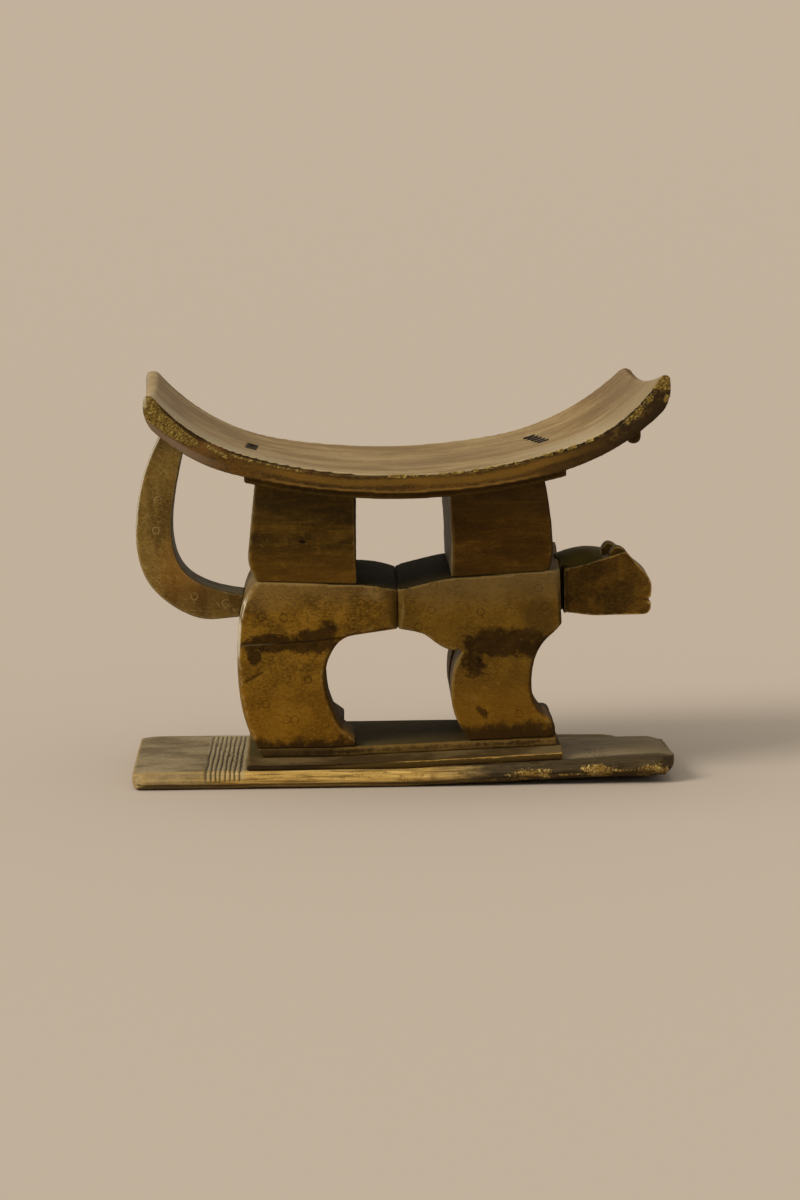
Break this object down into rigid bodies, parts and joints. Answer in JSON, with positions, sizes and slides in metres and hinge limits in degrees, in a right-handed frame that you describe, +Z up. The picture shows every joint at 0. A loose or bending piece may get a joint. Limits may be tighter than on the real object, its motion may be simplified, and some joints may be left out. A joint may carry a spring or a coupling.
{
  "type": "stool",
  "caption": "Low carved wooden stool with a long upward-curved seat held on blocks over the back of a standing leopard on a flat base board.",
  "frame": {"origin": "middle of the base board's underside, at floor level", "axes": "+X along the stool towards the leopard's head, +Y towards the leopard's left side, +Z up"},
  "size_m": [0.564, 0.284, 0.4279],
  "materials": {
    "worn_wood": "dry, worn and greyed",
    "dark_wood": "dark handled patina, satin"
  },
  "bodies": {
    "root": {"seat": "worn_wood", "base_board": "worn_wood", "seat_rail": "dark_wood", "seat_lug": "dark_wood", "rear_block": "dark_wood", "front_block": "dark_wood", "hindquarters": "dark_wood", "forequarters": "dark_wood", "hind_leg_right": "dark_wood", "hind_leg_left": "dark_wood", "foreleg_right": "dark_wood", "foreleg_left": "dark_wood", "neck": "dark_wood", "head": "dark_wood", "ear_right": "dark_wood", "ear_left": "dark_wood", "tail": "dark_wood", "upper_step": "dark_wood", "lower_step": "dark_wood"}
  },
  "joints": []
}
